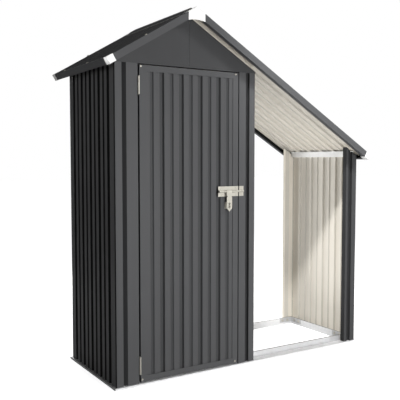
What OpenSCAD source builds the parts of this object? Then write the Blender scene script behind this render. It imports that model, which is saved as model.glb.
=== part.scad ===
// Ribbed-steel tool shed with an open log store beside it under one long gable roof.
// Millimetres, +Z up, front towards -Y, origin on the ground under the middle of the roof.

/* [Shed and log bay] */
// Width of the closed shed, outside its walls
shed_w = 830; // [600:5:1200]
// Width of the open log bay, from the shed to the outside of the end wall
bay_w = 770; // [500:5:1100]
// Depth from the front walls to the back walls, outside
depth = 590; // [450:5:900]
// Height of the shed's front and back walls above the ground
wall_h = 1584; // [1400:2:2000]

/* [Sheet] */
// Thickness of the wall, roof and trim sheet
sheet = 0.8; // [0.6:0.1:1.2]
// Distance between two deep grooves
groove_pitch = 112; // [90:1:140]
// Width of a deep groove at its mouth
deep_w = 29; // [22:1:36]
// Depth of a deep groove
deep_d = 10; // [6:0.5:14]
// Width of a shallow groove at its mouth
shallow_w = 22; // [16:1:28]
// Depth of a shallow groove
shallow_d = 5; // [3:0.5:8]
// Run of a groove's sloping side
groove_side = 6; // [3:0.5:7]
// Least flat beside the middle of the last groove of a sheet
groove_margin = 22; // [20:1:40]

/* [Corner panels] */
// Flat between the corner and the groove of a corner panel
corner_flat = 39; // [25:1:50]
// Width of that groove
corner_groove_w = 24; // [18:1:30]
// Depth of that groove
corner_groove_d = 12; // [5:0.5:14]
// Run of the steep side of that groove, next to the corner
corner_steep = 3; // [2:0.5:6]
// Width of the floor of that groove
corner_floor = 4; // [2:0.5:8]
// Radius of the bend at the corner
corner_r = 7; // [4:1:9]
// Width of the panel on the hinge side of the doorway
hinge_panel_w = 124; // [100:1:200]
// Width of the panel on the lock side of the doorway
lock_panel_w = 107; // [95:1:200]
// Width of the log bay's corner posts
post_w = 87; // [80:1:150]
// Width of the groove in that post
post_groove_w = 31; // [18:1:36]
// Depth of the lip folded inwards along a panel's free edge
panel_lip = 30; // [20:1:32]

/* [Base frame] */
// Thickness of the base rails
base_sheet = 1.2; // [1:0.1:2]
// Reach of the base rail's skirt beyond the walls
skirt_out = 10; // [5:1:20]
// Height of the ledge that the walls stand on
ledge_z = 10; // [8:1:20]
// Distance from the outside of a wall to the upstand behind it
upstand_in = 36; // [34:1:50]
// Width of the upstand
upstand_w = 10; // [6:1:20]
// Height of the upstand's top
upstand_h = 44; // [30:1:60]
// Length of a corner bracket's legs
bracket_leg = 100; // [60:5:140]
// Height of a corner bracket
bracket_h = 28; // [16:1:30]
// Thickness of a corner bracket
bracket_t = 1.6; // [1:0.1:3]

/* [Top rails] */
// Height of the rails under the roof at the side walls
side_rail_h = 36; // [24:1:50]
// Distance from the outside of a side wall to the web of its rail
side_rail_in = 23; // [14:1:30]
// Height of the rails over the doorway and the back wall
head_rail_h = 24; // [16:1:30]
// Width of those rails
head_rail_w = 22; // [14:1:24]
// Height of the sloping rails between gable and roof
slope_rail_h = 24; // [22:1:34]
// Width of the sloping rails
slope_rail_w = 20; // [12:1:24]

/* [Roof] */
// Slope of both roof sides, in degrees
roof_pitch = 30.5; // [24:0.5:36]
// Overhang of the roof at the front and at the back
end_overhang = 75; // [55:1:120]
// Overhang of the roof beyond the shed's side wall
left_overhang = 70; // [55:1:120]
// Overhang of the roof beyond the log bay's end wall
right_overhang = 38; // [36:1:100]
// Depth of the trims round the roof, across the slope
trim_h = 36; // [34:1:60]
// Width of the trims' flange over the roof sheet
trim_flange = 14; // [8:1:24]
// Width of the lip under the front and back trims
trim_lip = 25; // [12:1:40]
// Width of the lip under the eave trims
eave_lip = 18; // [8:1:18]
// Length of an eave cap along each trim
cap_len = 36; // [28:1:60]
// Wall of the plastic caps
cap_wall = 1; // [0.8:0.1:2]
// Length of trim that goes into a cap
cap_insert = 5; // [3:1:8]
// Half of the width of a ridge cap
ridge_cap_half = 48; // [36:1:70]
// Depth of a ridge cap along the ridge
ridge_cap_deep = 56; // [30:1:57]
// Rise of the arch under a ridge cap
ridge_cap_arch = 6; // [4:1:20]
// Height of the gable's top edge below the roof's top line, across the slope
gable_drop = 32; // [26:1:34]
// Height of the gable's edge at the corner of the shed
gable_edge = 5; // [3:1:20]
// Length of gable that covers the top of the wall
gable_lap = 3; // [2:0.5:5]
// Width of the gable's lower edge folded back over the doorway
gable_fold = 20; // [8:1:30]
// Gap between the two halves of a gable
gable_seam = 0.6; // [0.3:0.1:2]
// Rise of the ridge flashing over the trims
flashing_rise = 5; // [3:1:12]
// Width of the flashing's raised part, down each slope
flashing_crown = 40; // [30:1:60]
// Run of the flashing's sloping side
flashing_side = 20; // [12:1:30]
// Width of the flashing's foot on the roof sheet
flashing_foot = 16; // [8:1:30]
// Distance from the ends of the roof to the ends of the flashing
flashing_inset = 58; // [58:1:90]
// Gap left between a corner post's top and the roof, across the slope
post_roof_gap = 13; // [4:1:20]

/* [Door] */
// Gap round the door, apart from its hinge side
door_gap = 5.5; // [5:0.5:10]
// Width of the door's stiles
stile_w = 34; // [24:1:60]
// Height of the door's top and bottom rails
door_rail_h = 30; // [20:1:60]
// Depth of the door's frame
door_deep = 25; // [16:1:28]
// Width of the lip at the back of the door's frame
door_back_lip = 12; // [6:1:20]
// Distance from the face of the door's frame back to its ribbed panel
panel_set = 3; // [1:0.5:6]

/* [Hinges] */
// Length of a hinge
hinge_len = 88; // [60:1:120]
// Radius of a hinge's knuckle
knuckle_r = 4.5; // [3.5:0.1:6]
// Radius of a hinge's pin
pin_r = 2.5; // [2:0.1:3]
// Clearance between the pin and the door's knuckles
pin_clear = 0.08; // [0.05:0.01:0.1]
// Thickness of a hinge's leaf
leaf_t = 2; // [1:0.1:2.2]
// Width of a hinge's leaf, from the pin
leaf_w = 26; // [18:1:28]
// Distance of the pin in front of the wall
pin_out = 3.5; // [2.5:0.1:5]
// Gap between two knuckles
knuckle_gap = 0.5; // [0.3:0.1:1]
// Height of the lower hinge's middle
lower_hinge_z = 100; // [70:1:300]
// Height of the upper hinge's middle
upper_hinge_z = 1478; // [1200:1:1500]

/* [Pad bolt] */
// Height of the bolt above the ground
bolt_z = 951; // [700:1:1200]
// Length of the bolt's plate on the door
plate_len = 128; // [100:1:160]
// Height of the bolt's plate and of its keeper
plate_h = 53; // [36:1:70]
// Thickness of these plates
plate_t = 2; // [1:0.1:3]
// Width of the keeper's plate
keeper_w = 28; // [20:1:40]
// Distance from the panel's edge to the keeper's plate
keeper_edge = 1; // [0.5:0.5:4]
// Radius of the bolt
bolt_r = 4.5; // [3.5:0.1:6]
// Distance of the bolt's axis in front of the wall
bolt_out = 10; // [9:0.5:14]
// Gap round the bolt in its loops and in the hasp
bolt_clear = 0.3; // [0.2:0.05:0.5]
// Wall of the loops round the bolt
loop_wall = 1.7; // [1.2:0.1:3]
// Width of a loop
loop_w = 9; // [6:0.5:12]
// Length of the bolt's tip beyond the keeper's inner edge
bolt_reach = 24; // [16:1:30]
// Travel of the bolt
bolt_travel = 30; // [20:1:34]

/* [Hasp] */
// Width of the hasp
hasp_w = 33; // [26:1:40]
// Width of the hasp's eye on the bolt
hasp_eye_w = 36; // [26:1:44]
// Width of the hasp's neck
hasp_neck_w = 24; // [20:1:32]
// Length of the hasp from the bolt to its tip
hasp_len = 106; // [80:1:140]
// Height of the hasp's pointed end
hasp_point = 17; // [8:1:24]
// Thickness of the hasp
hasp_t = 2; // [1:0.1:3]
// Gap between the hasp's eye and the loop beside it
hasp_side_gap = 5; // [2:0.5:8]
// Distance from the bolt to the middle of the staple
staple_drop = 74; // [60:1:100]
// Distance between the middles of the staple's legs
staple_span = 16; // [12:1:20]
// Radius of the staple's wire
staple_r = 2; // [1.5:0.1:3]
// Gap left for a shackle between the hasp and the staple's bend
shackle_gap = 6; // [5:0.5:9]
// Width of the hasp's slot
slot_w = 12; // [10:0.5:16]
// Gap in the slot above and below the staple
slot_end_gap = 4; // [3:0.5:8]
// Height of the staple's plate
staple_plate_h = 36; // [26:1:50]

/* [Hidden] */
$fn = 48;
bend_steps = 6;
corner_reach = corner_r + 1;
// A cutting block is larger than the whole object
cut_size = 6000;
dark = "#46474a";
cream = "#ddd8cb";
galvanised = "#e6e7e8";
plastic_white = "#f4f4f2";
zinc = "#d9d5c6";

total_w = shed_w + bay_w;
ridge_x = shed_w / 2;
wall_d = deep_d + sheet;
base_reach = upstand_in + upstand_w;

// Heights across the slope below the roof's top line
roof_top_drop = cap_wall + sheet;
roof_under_drop = roof_top_drop + wall_d;
slope_rail_drop = roof_under_drop + slope_rail_h;
apex_z = wall_h + gable_edge + gable_drop / cos(roof_pitch) + ridge_x * tan(roof_pitch);
left_slope_len = (ridge_x + left_overhang) / cos(roof_pitch);
right_slope_len = (total_w + right_overhang - ridge_x) / cos(roof_pitch);
middle = [(total_w + right_overhang - left_overhang) / 2, depth / 2, 0];

// Height of a plane under the roof at a distance from the ridge
function under_roof(from_ridge, drop) =
    apex_z - drop / cos(roof_pitch) - from_ridge * tan(roof_pitch);
// A side rail stands on its wall and reaches the underside of the roof's deep grooves
side_rail_top = under_roof(ridge_x - side_rail_in + sheet, roof_under_drop);
end_rail_top = under_roof(total_w - ridge_x - side_rail_in + sheet, roof_under_drop);
side_wall_top = side_rail_top - side_rail_h;
end_wall_top = end_rail_top - side_rail_h;
head_rail_top = wall_h + head_rail_h;
// The rails over the walls stop where they would meet the sloping rails
head_rail_x = ridge_x - (apex_z - slope_rail_drop / cos(roof_pitch) - head_rail_top) / tan(roof_pitch) + 1;
slope_rail_start = slope_rail_drop * tan(roof_pitch) + 0.5;
slope_rail_end = (ridge_x - side_rail_in - 1 + roof_under_drop * sin(roof_pitch)) / cos(roof_pitch);
roof_start = roof_under_drop * tan(roof_pitch) + 1;

// The door hangs in the gap that its hinges leave
hinge_gap = 2 * knuckle_r;
door_x = hinge_panel_w + hinge_gap;
door_w = shed_w - lock_panel_w - door_gap - door_x;
door_z = ledge_z + door_gap;
door_top = wall_h - gable_lap - door_gap;
door_h = door_top - door_z;
panel_front = panel_set;

// The bolt's pieces are set out from the lock edge of the door
door_edge = door_x + door_w;
plate_x = door_edge - plate_len;
keeper_x = shed_w - lock_panel_w + keeper_edge;
loop_r = bolt_r + bolt_clear + loop_wall;
eye_r = bolt_r + bolt_clear;
hasp_x = plate_x + loop_w + hasp_side_gap + bolt_travel;
hasp_mid = hasp_x + hasp_eye_w / 2;
inner_loop_x = hasp_x + hasp_eye_w + hasp_side_gap;
keeper_loop_x = keeper_x + (keeper_w - loop_w) / 2;
bolt_tip_len = 3;
hasp_front = bolt_out + eye_r + hasp_t;
staple_z = bolt_z - staple_drop;
staple_bend_r = staple_span / 2;
staple_bend_out = hasp_front + shackle_gap - (staple_bend_r - staple_r);
hinge_heights = [lower_hinge_z, upper_hinge_z];
knuckle_len = hinge_len / 5;

// Outline of a bent sheet: its outer line, and that line moved to its right by the thickness
function unit(v) = v / norm(v);
function right_of(v) = [v[1], -v[0]];
function side_before(line, i) = right_of(unit(line[max(i, 1)] - line[max(i, 1) - 1]));
function side_after(line, i) = side_before(line, min(i + 1, len(line) - 1));
function inner_point(line, i, t) =
    let (a = side_before(line, i), b = side_after(line, i)) line[i] + (a + b) * t / (1 + a * b);
function bent_sheet(line, t) =
    concat(line, [for (i = [len(line) - 1 : -1 : 0]) inner_point(line, i, t)]);

// One groove in a sheet's outer line, the bend at a corner, and the line of a whole ribbed sheet
function groove(at, w, d) =
    [[at - w / 2, 0], [at - w / 2 + groove_side, -d], [at + w / 2 - groove_side, -d], [at + w / 2, 0]];
function corner_bend() =
    concat([[0, -corner_reach]],
        [for (i = [0 : bend_steps]) corner_r * [1 - cos(90 * i / bend_steps), sin(90 * i / bend_steps) - 1]]);
function far_bend(w) =
    let (near = corner_bend())
    [for (i = [len(near) - 1 : -1 : 0]) [w - near[i][0], near[i][1]]];
function ribbed_line(w, deep_in_middle, bent) =
    let (n = floor((w / 2 - groove_margin - (bent ? corner_reach : 0)) / (groove_pitch / 2)))
    concat(bent ? corner_bend() : [[0, 0]],
        [for (k = [-n : n])
            let (is_deep = (abs(k) % 2 == 0) == deep_in_middle)
            each groove(w / 2 + k * groove_pitch / 2, is_deep ? deep_w : shallow_w, is_deep ? deep_d : shallow_d)],
        bent ? far_bend(w) : [[w, 0]]);

// A corner panel's outer line, from the corner to its free edge, with or without a lip
function corner_groove(groove_w) =
    [[corner_flat, 0], [corner_flat + corner_steep, -corner_groove_d],
        [corner_flat + corner_steep + corner_floor, -corner_groove_d], [corner_flat + groove_w, 0]];
function corner_line(w, lip, groove_w) =
    concat(corner_bend(), corner_groove(groove_w), [[w, 0]], lip > 0 ? [[w, -lip]] : []);

// Puts the object's own origin on the ground under the middle of the roof
module placed() {
    translate(-middle) children();
}

// A profile drawn across and up, run along X or along Y
module along_x(length) {
    rotate([90, 0, 90]) linear_extrude(length) children();
}
module along_y(length) {
    translate([0, length, 0]) rotate([90, 0, 0]) linear_extrude(length) children();
}

// Frames on the two slopes: x down the slope from the ridge, z across it from the roof's top line
module on_right_slope() {
    translate([ridge_x, 0, apex_z]) rotate([0, roof_pitch, 0]) children();
}
module on_left_slope() {
    translate([ridge_x, 0, apex_z]) mirror([1, 0, 0]) rotate([0, roof_pitch, 0]) children();
}
module at_back() {
    translate([0, depth, 0]) mirror([0, 1, 0]) children();
}

// All that lies above the underside of the right slope
module above_right_slope(drop) {
    on_right_slope() translate([-cut_size / 2, -cut_size / 2, -drop]) cube(cut_size);
}

module ribbed_panel(w, h, deep_in_middle = true, bent = false) {
    linear_extrude(h) polygon(bent_sheet(ribbed_line(w, deep_in_middle, bent), sheet));
}

module corner_panel(w, h, lip, groove_w = corner_groove_w) {
    linear_extrude(h) polygon(bent_sheet(corner_line(w, lip, groove_w), sheet));
}

// A channel with its web outwards, from its lower inner edge round to its upper inner edge
module channel_section(w, low, high, t) {
    polygon(bent_sheet([[w, low], [0, low], [0, high], [w, high]], t));
}

// Base rails: skirt, ledge under the wall, upstand behind it
function base_line() = [[-skirt_out, 0], [-skirt_out, ledge_z], [upstand_in, ledge_z],
    [upstand_in, upstand_h], [base_reach, upstand_h], [base_reach, 0]];
module base_section() {
    polygon(bent_sheet(base_line(), base_sheet));
}
module mitred_rail(length) {
    intersection() {
        translate([-skirt_out, 0, 0]) along_x(length + 2 * skirt_out) base_section();
        linear_extrude(upstand_h)
            polygon([[-skirt_out, -skirt_out], [length + skirt_out, -skirt_out],
                [length - base_reach, base_reach], [base_reach, base_reach]]);
    }
}
module base_rail_front() {
    color(galvanised) placed() mitred_rail(total_w);
}
module base_rail_back() {
    color(galvanised) placed() at_back() mitred_rail(total_w);
}
module base_rail_left() {
    color(galvanised) placed() mirror([1, 0, 0]) rotate([0, 0, 90]) mitred_rail(depth);
}
module base_rail_right() {
    color(galvanised) placed() translate([total_w, 0, 0]) rotate([0, 0, 90]) mitred_rail(depth);
}
module base_rail_middle() {
    color(galvanised) placed()
        translate([shed_w, base_reach, 0]) rotate([0, 0, 90]) along_x(depth - 2 * base_reach) base_section();
}

// An angle bracket inside each outer corner of the base
module corner_bracket() {
    translate([base_reach, base_reach, upstand_h - bracket_h - base_sheet])
        linear_extrude(bracket_h)
            polygon(bent_sheet([[0, bracket_leg], [0, 0], [bracket_leg, 0]], -bracket_t));
}
module base_brackets() {
    color(galvanised) placed() {
        corner_bracket();
        at_back() corner_bracket();
        translate([total_w, 0, 0]) mirror([1, 0, 0]) corner_bracket();
        at_back() translate([total_w, 0, 0]) mirror([1, 0, 0]) corner_bracket();
    }
}

// Ribbed walls, with their grooves inwards
module left_wall() {
    color(dark) placed()
        translate([0, corner_reach, ledge_z]) rotate([0, 0, 90])
            ribbed_panel(depth - 2 * corner_reach, side_wall_top - ledge_z);
}
module back_wall() {
    color(dark) placed() translate([0, depth, ledge_z]) ribbed_panel(shed_w, wall_h - ledge_z, bent = true);
}
module inner_wall() {
    // The wall is notched where the upstands of the front and back rails pass under it
    notch = upstand_w + 2 * base_sheet;
    color(dark) placed() difference() {
        translate([shed_w, depth - corner_reach, ledge_z]) rotate([0, 0, -90])
            ribbed_panel(depth - 2 * corner_reach, side_wall_top - ledge_z);
        for (y = [upstand_in - base_sheet, depth - upstand_in + base_sheet - notch])
            translate([shed_w - 2 * wall_d, y, 0]) cube([3 * wall_d, notch, upstand_h + base_sheet]);
    }
}
module end_wall() {
    color(dark) placed()
        translate([total_w, depth - corner_reach, ledge_z]) rotate([0, 0, -90])
            ribbed_panel(depth - 2 * corner_reach, end_wall_top - ledge_z);
}

// Corner panels beside the doorway, and the log bay's posts
module front_left_panel() {
    color(dark) placed()
        translate([0, 0, ledge_z]) mirror([0, 1, 0]) corner_panel(hinge_panel_w, wall_h - ledge_z, panel_lip);
}
module front_right_panel() {
    color(dark) placed()
        translate([shed_w, 0, ledge_z]) rotate([0, 0, 180])
            corner_panel(lock_panel_w, wall_h - ledge_z, panel_lip);
}
module sloped_post(lip) {
    difference() {
        translate([total_w, 0, ledge_z]) rotate([0, 0, 180]) corner_panel(post_w, wall_h, lip, post_groove_w);
        above_right_slope(roof_under_drop + post_roof_gap);
    }
}
module end_post_front() {
    color(dark) placed() sloped_post(panel_lip);
}
module end_post_back() {
    color(dark) placed() at_back() sloped_post(0);
}

// Flat gable sheets in two halves, in front of the wall tops, folded back over the doorway
module gable_half() {
    low = wall_h - gable_lap;
    half = ridge_x - gable_seam / 2;
    rotate([90, 0, 0]) linear_extrude(sheet)
        polygon([[0, low], [half, low], [half, under_roof(gable_seam / 2, gable_drop)],
            [0, under_roof(ridge_x, gable_drop)]]);
}
module folded_edge(from_x) {
    translate([from_x, -sheet, wall_h - gable_lap])
        cube([ridge_x - gable_seam / 2 - from_x, sheet + gable_fold, sheet]);
}
module front_gable_left() {
    color(dark) placed() {
        gable_half();
        folded_edge(hinge_panel_w);
    }
}
module front_gable_right() {
    color(dark) placed() translate([shed_w, 0, 0]) mirror([1, 0, 0]) {
        gable_half();
        folded_edge(lock_panel_w);
    }
}
module back_gables() {
    color(dark) placed() at_back() {
        gable_half();
        translate([shed_w, 0, 0]) mirror([1, 0, 0]) gable_half();
    }
}

// Rails under the roof
module head_rail() {
    translate([head_rail_x, 0, 0]) along_x(shed_w - 2 * head_rail_x)
        channel_section(head_rail_w, wall_h, head_rail_top, sheet);
}
module front_top_rail() {
    color(galvanised) placed() head_rail();
}
module back_top_rail() {
    color(galvanised) placed() at_back() head_rail();
}
// A side rail's flange lies on the wall's top edge, and its web carries the roof
module side_rail(top) {
    low = top - side_rail_h;
    translate([0, corner_reach, 0]) along_y(depth - 2 * corner_reach)
        polygon(bent_sheet([[0, low], [side_rail_in, low], [side_rail_in, top]], -sheet));
}
module left_top_rail() {
    color(galvanised) placed() side_rail(side_rail_top);
}
module inner_top_rail() {
    color(galvanised) placed() translate([shed_w, 0, 0]) mirror([1, 0, 0]) side_rail(side_rail_top);
}
module end_top_rail() {
    color(galvanised) placed() translate([total_w, 0, 0]) mirror([1, 0, 0]) side_rail(end_rail_top);
}
module slope_rail() {
    translate([slope_rail_start, 0, 0]) along_x(slope_rail_end - slope_rail_start)
        channel_section(slope_rail_w, -slope_rail_drop, -roof_under_drop, sheet);
}
module slope_rails() {
    color(cream) placed() {
        on_left_slope() slope_rail();
        on_right_slope() slope_rail();
        at_back() on_left_slope() slope_rail();
        at_back() on_right_slope() slope_rail();
    }
}

// Roof sheets, with their ribs down the slope
module roof_sheet(slope_len) {
    inset = cap_wall + sheet;
    translate([roof_start, -end_overhang + inset, -roof_top_drop])
        along_x(slope_len - inset - roof_start)
            polygon(bent_sheet(ribbed_line(depth + 2 * (end_overhang - inset), true, false), sheet));
}
module roof_left() {
    color(dark) placed() on_left_slope() roof_sheet(left_slope_len);
}
module roof_right() {
    color(dark) placed() on_right_slope() roof_sheet(right_slope_len);
}

// Points of the flashing's line, measured down a slope and across it
function on_slope(down, across, side) =
    [side * (down * cos(roof_pitch) + across * sin(roof_pitch)), across * cos(roof_pitch) - down * sin(roof_pitch)];
module ridge_flashing() {
    foot = sheet - roof_top_drop;
    half = [[flashing_crown + flashing_side + flashing_foot, foot], [flashing_crown + flashing_side, foot],
        [flashing_crown, flashing_rise]];
    line = concat([for (p = half) on_slope(p[0], p[1], -1)], [[0, flashing_rise / cos(roof_pitch)]],
        [for (i = [len(half) - 1 : -1 : 0]) on_slope(half[i][0], half[i][1], 1)]);
    color(dark) placed() translate([ridge_x, -end_overhang + flashing_inset, apex_z])
        along_y(depth + 2 * (end_overhang - flashing_inset)) polygon(bent_sheet(line, sheet));
}

// Trims along the sloping edges, cut plumb at the ridge
module fascia(slope_len) {
    face = -end_overhang + cap_wall;
    low = cap_wall - trim_h;
    difference() {
        along_x(slope_len - cap_len + cap_insert)
            polygon(bent_sheet([[face + trim_lip, low], [face, low], [face, -cap_wall],
                [face + trim_flange, -cap_wall]], sheet));
        rotate([0, -roof_pitch, 0]) translate([-cut_size, -cut_size / 2, -cut_size / 2])
            cube([cut_size + ridge_cap_half - cap_insert, cut_size, cut_size]);
    }
}
module front_fascia_left() {
    color(dark) placed() on_left_slope() fascia(left_slope_len);
}
module front_fascia_right() {
    color(dark) placed() on_right_slope() fascia(right_slope_len);
}
module back_fascia_left() {
    color(dark) placed() at_back() on_left_slope() fascia(left_slope_len);
}
module back_fascia_right() {
    color(dark) placed() at_back() on_right_slope() fascia(right_slope_len);
}

// Trims along the eaves
module eave_trim(slope_len) {
    end = -end_overhang + cap_len - cap_insert;
    face = slope_len - cap_wall;
    translate([0, end, 0]) along_y(depth - 2 * end)
        polygon(bent_sheet([[face - trim_flange, -cap_wall], [face, -cap_wall], [face, cap_wall - trim_h],
            [face - eave_lip, cap_wall - trim_h]], sheet));
}
module eave_trim_left() {
    color(dark) placed() on_left_slope() eave_trim(left_slope_len);
}
module eave_trim_right() {
    color(dark) placed() on_right_slope() eave_trim(right_slope_len);
}

// Plastic caps: hollow corner pieces at the eaves, and arched pieces at the ridge
module eave_cap(slope_len) {
    translate([slope_len - cap_len, -end_overhang, -trim_h]) difference() {
        cube([cap_len, cap_len, trim_h]);
        translate([-cap_wall, cap_wall, cap_wall]) cube([cap_len, cap_len, trim_h - 2 * cap_wall]);
    }
}
module eave_caps() {
    color(plastic_white) placed() {
        on_left_slope() eave_cap(left_slope_len);
        on_right_slope() eave_cap(right_slope_len);
        at_back() on_left_slope() eave_cap(left_slope_len);
        at_back() on_right_slope() eave_cap(right_slope_len);
    }
}
function ridge_drop(x) = -abs(x) * tan(roof_pitch);
module ridge_cap() {
    half = ridge_cap_half;
    low = ridge_drop(half) - trim_h / cos(roof_pitch);
    arch_r = (half * half + ridge_cap_arch * ridge_cap_arch) / (2 * ridge_cap_arch);
    skin = cap_wall / cos(roof_pitch);
    translate([ridge_x, -end_overhang, apex_z]) {
        along_y(cap_wall) difference() {
            polygon([[-half, low], [half, low], [half, ridge_drop(half)], [0, 0], [-half, ridge_drop(half)]]);
            translate([0, low + ridge_cap_arch - arch_r]) circle(arch_r, $fn = 96);
        }
        along_y(ridge_cap_deep)
            polygon([[-half, ridge_drop(half)], [0, 0], [half, ridge_drop(half)],
                [half, ridge_drop(half) - skin], [0, -skin], [-half, ridge_drop(half) - skin]]);
    }
}
module ridge_caps() {
    color(plastic_white) placed() {
        ridge_cap();
        at_back() ridge_cap();
    }
}

// The door: a ribbed panel behind a frame of folded channels
module door_panel() {
    color(dark) placed()
        translate([door_x + sheet, panel_front, door_z + sheet]) mirror([0, 1, 0])
            ribbed_panel(door_w - 2 * sheet, door_h - 2 * sheet, false);
}
// Section of a frame piece from its inner edge on the panel, round its outer edge, to the lip at its back
function frame_line(face) =
    [[face, panel_front], [face, 0], [0, 0], [0, door_deep], [door_back_lip, door_deep]];
module stile() {
    linear_extrude(door_h) polygon(bent_sheet(frame_line(stile_w), sheet));
}
module door_hinge_stile() {
    color(dark) placed() translate([door_x, 0, door_z]) stile();
}
module door_lock_stile() {
    color(dark) placed() translate([door_edge, 0, door_z]) mirror([1, 0, 0]) stile();
}
module cross_rail() {
    face = [for (p = frame_line(door_rail_h)) [p[1], p[0]]];
    translate([door_x + stile_w, 0, 0]) along_x(door_w - 2 * stile_w) polygon(bent_sheet(face, -sheet));
}
module door_top_rail() {
    color(dark) placed() translate([0, 0, door_top]) mirror([0, 0, 1]) cross_rail();
}
module door_bottom_rail() {
    color(dark) placed() translate([0, 0, door_z]) cross_rail();
}

// Butt hinges: five knuckles, the odd ones and the pin on the wall's leaf
module knuckles(wanted) {
    for (k = wanted)
        translate([0, 0, k * knuckle_len + knuckle_gap / 2]) children();
}
module leaf(wanted) {
    // The plate stays clear of the other leaf's knuckles and is joined to its own by short tabs
    clear = knuckle_r + knuckle_gap;
    height = knuckle_len - knuckle_gap;
    translate([-knuckle_r, clear, 0]) cube([leaf_t, leaf_w - clear, hinge_len]);
    knuckles(wanted) {
        translate([-knuckle_r, 0, 0]) cube([leaf_t, clear + knuckle_gap, height]);
    }
    knuckles(wanted) cylinder(r = knuckle_r, h = height);
}
module at_hinges() {
    for (z = hinge_heights)
        translate([hinge_panel_w + knuckle_r, -pin_out, z - hinge_len / 2]) children();
}
module hinge_frame_leaves() {
    color(zinc) placed() at_hinges() {
        leaf([0, 2, 4]);
        cylinder(r = pin_r, h = hinge_len);
    }
}
module hinge_door_leaves() {
    color(zinc) placed() at_hinges() difference() {
        mirror([1, 0, 0]) leaf([1, 3]);
        translate([0, 0, -1]) cylinder(r = pin_r + pin_clear, h = hinge_len + 2);
    }
}

// Pad bolt: plates with loops, the sliding bolt, and the hasp that hangs on it
module along_bolt(x) {
    translate([x, -bolt_out, bolt_z]) rotate([0, 90, 0]) children();
}
module loop_body(x) {
    along_bolt(x) cylinder(r = loop_r, h = loop_w);
    translate([x, -bolt_out, bolt_z - loop_r]) cube([loop_w, bolt_out - plate_t / 2, 2 * loop_r]);
}
module bolt_hole(x, length) {
    along_bolt(x - 1) cylinder(r = eye_r, h = length + 2);
}
module latch_plate() {
    color(zinc) placed() difference() {
        union() {
            translate([plate_x, -plate_t, bolt_z - plate_h / 2]) cube([plate_len, plate_t, plate_h]);
            loop_body(plate_x);
            loop_body(inner_loop_x);
        }
        bolt_hole(plate_x, plate_len);
    }
}
module bolt_keeper() {
    color(zinc) placed() difference() {
        union() {
            translate([keeper_x, -plate_t, bolt_z - plate_h / 2]) cube([keeper_w, plate_t, plate_h]);
            loop_body(keeper_loop_x);
        }
        bolt_hole(keeper_x, keeper_w);
    }
}
module bolt_rod() {
    color(zinc) placed() along_bolt(plate_x + 1) {
        length = keeper_x + bolt_reach - plate_x - 1 - bolt_tip_len;
        cylinder(r = bolt_r, h = length);
        translate([0, 0, length]) cylinder(r1 = bolt_r, r2 = bolt_r - bolt_tip_len / 2, h = bolt_tip_len);
    }
}
module hasp() {
    // Outline of the hanging plate, from the eye down to its point
    eye = hasp_eye_w / 2;
    neck = hasp_neck_w / 2;
    half = hasp_w / 2;
    neck_z = -plate_h / 2;
    head_z = neck_z + (eye - neck);
    wide_z = neck_z - (half - neck);
    point_z = hasp_point - hasp_len;
    outline = [[eye, 0], [eye, head_z], [neck, neck_z], [half, wide_z], [half, point_z], [0, -hasp_len]];
    slot_h = staple_span + 2 * (staple_r + slot_end_gap);
    color(zinc) placed() difference() {
        union() {
            along_bolt(hasp_x) cylinder(r = eye_r + hasp_t, h = hasp_eye_w);
            translate([hasp_mid, hasp_t - hasp_front, bolt_z]) rotate([90, 0, 0]) linear_extrude(hasp_t)
                polygon(concat(outline, [for (i = [len(outline) - 2 : -1 : 0]) [-outline[i][0], outline[i][1]]]));
        }
        bolt_hole(hasp_x, hasp_eye_w);
        translate([hasp_mid - slot_w / 2, -hasp_front - 1, staple_z - slot_h / 2])
            cube([slot_w, hasp_t + 2, slot_h]);
    }
}
// The staple: a wire loop on its own plate, through the hasp's slot
module staple_half() {
    leg = staple_bend_out + panel_front - plate_t;
    rotate([90, 0, 0]) translate([0, staple_bend_r, 0]) cylinder(r = staple_r, h = leg);
    translate([0, -leg, 0]) rotate([0, 90, 180]) rotate_extrude(angle = 90)
        translate([staple_bend_r, 0]) circle(staple_r);
}
module hasp_staple() {
    color(zinc) placed() {
        translate([hasp_x, panel_front - plate_t, staple_z - staple_plate_h / 2])
            cube([hasp_eye_w, plate_t, staple_plate_h]);
        translate([hasp_mid, panel_front - plate_t, staple_z]) {
            staple_half();
            mirror([0, 0, 1]) staple_half();
        }
    }
}

base_rail_front();
base_rail_back();
base_rail_left();
base_rail_right();
base_rail_middle();
base_brackets();
left_wall();
back_wall();
inner_wall();
end_wall();
front_left_panel();
front_right_panel();
end_post_front();
end_post_back();
front_gable_left();
front_gable_right();
back_gables();
front_top_rail();
back_top_rail();
left_top_rail();
inner_top_rail();
end_top_rail();
slope_rails();
roof_left();
roof_right();
ridge_flashing();
front_fascia_left();
front_fascia_right();
back_fascia_left();
back_fascia_right();
eave_trim_left();
eave_trim_right();
eave_caps();
ridge_caps();
door_panel();
door_hinge_stile();
door_lock_stile();
door_top_rail();
door_bottom_rail();
hinge_frame_leaves();
hinge_door_leaves();
latch_plate();
hasp_staple();
bolt_keeper();
bolt_rod();
hasp();
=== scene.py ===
import math

import bmesh
import bpy
from bpy.props import FloatProperty, FloatVectorProperty, PointerProperty
from mathutils import Matrix, Vector


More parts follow.
